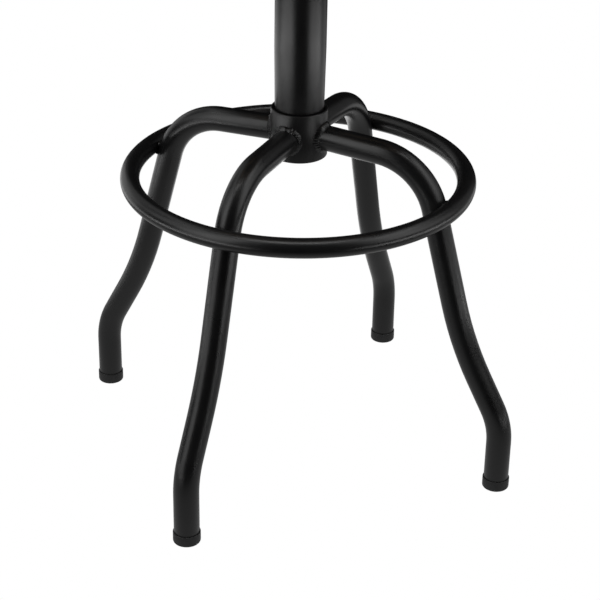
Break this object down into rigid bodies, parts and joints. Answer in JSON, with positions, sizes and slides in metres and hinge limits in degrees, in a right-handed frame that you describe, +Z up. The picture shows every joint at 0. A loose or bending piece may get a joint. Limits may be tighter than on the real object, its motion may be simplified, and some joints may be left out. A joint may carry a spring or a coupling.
{
  "type": "backless swivel bar stool",
  "caption": "Backless swivel stool with S-bent tube legs on a central hub, a foot ring, a gas-lift column with release lever, and a round padded seat.",
  "frame": {"origin": "on the floor, under the axis of the column", "axes": "+Z up along the column; the legs stand on the diagonals between X and Y; the release lever points along +X at rest"},
  "size_m": [0.3696, 0.3696, 0.693],
  "materials": {
    "powder_coat": "satin",
    "column_paint": "satin",
    "bright_steel": "satin",
    "zinc_plate": "satin",
    "spring_steel": "satin",
    "piston_alloy": "satin",
    "cage_brass": "satin",
    "black_plastic": "matte",
    "natural_nylon": "matte",
    "black_rubber": "matte",
    "plywood": "matte",
    "seat_foam": "matte",
    "black_vinyl": "satin"
  },
  "bodies": {
    "base": {"hub_sleeve": "powder_coat", "leg_front_left": "powder_coat", "leg_front_right": "powder_coat", "leg_back_right": "powder_coat", "leg_back_left": "powder_coat", "foot_ring": "powder_coat", "foot_glide_front_left": "black_plastic", "foot_glide_front_right": "black_plastic", "foot_glide_back_right": "black_plastic", "foot_glide_back_left": "black_plastic", "column_tube": "column_paint", "column_floor": "bright_steel", "guide_bush": "black_plastic", "bearing_lower_race": "bright_steel"},
    "ball_cage": {"bearing_ball_cage": "cage_brass"},
    "spindle": {"piston_rod": "bright_steel", "rod_clip": "spring_steel", "rod_buffer": "black_rubber", "piston": "piston_alloy", "bearing_upper_race": "bright_steel"},
    "seat": {"pressure_tube": "column_paint", "rod_gland": "natural_nylon", "taper_socket": "powder_coat", "mechanism_channel": "powder_coat", "lever_pivot_pin": "zinc_plate", "pivot_clip": "spring_steel", "seat_plate": "powder_coat", "seat_board": "plywood", "seat_bolt_1": "zinc_plate", "seat_bolt_2": "zinc_plate", "seat_bolt_3": "zinc_plate", "seat_bolt_4": "zinc_plate", "seat_washer_1": "zinc_plate", "seat_washer_2": "zinc_plate", "seat_washer_3": "zinc_plate", "seat_washer_4": "zinc_plate", "tee_nut_1": "zinc_plate", "tee_nut_2": "zinc_plate", "tee_nut_3": "zinc_plate", "tee_nut_4": "zinc_plate", "seat_foam": "seat_foam", "seat_cover": "black_vinyl"},
    "lever": {"lever_rod": "powder_coat", "lever_grip": "black_plastic"},
    "valve": {"valve_pin": "bright_steel"}
  },
  "joints": [
    {"name": "swivel", "type": "hinge", "parent": "base", "child": "spindle", "pos_m": [0, 0, 0.335], "axis": [0, 0, 1], "continuous": true},
    {"name": "cage_roll", "type": "hinge", "parent": "base", "child": "ball_cage", "pos_m": [0, 0, 0.333], "axis": [0, 0, 1], "continuous": true},
    {"name": "height", "type": "slide", "parent": "spindle", "child": "seat", "axis": [0, 0, 1], "range_m": [0, 0.13]},
    {"name": "lever_lift", "type": "hinge", "parent": "seat", "child": "lever", "pos_m": [0.022, 0, 0.60664], "axis": [0, -1, 0], "range_deg": [0, 8], "stiffness_Nm_per_rad": 3, "springref_deg": -2.86},
    {"name": "valve_press", "type": "slide", "parent": "seat", "child": "valve", "axis": [0, 0, -1], "range_m": [0, 0.0035]}
  ],
  "couplings": [
    {"joint": "cage_roll", "follows": "swivel", "ratio": 0.5},
    {"joint": "valve_press", "follows": "lever_lift", "m_per_rad": 0.025}
  ]
}
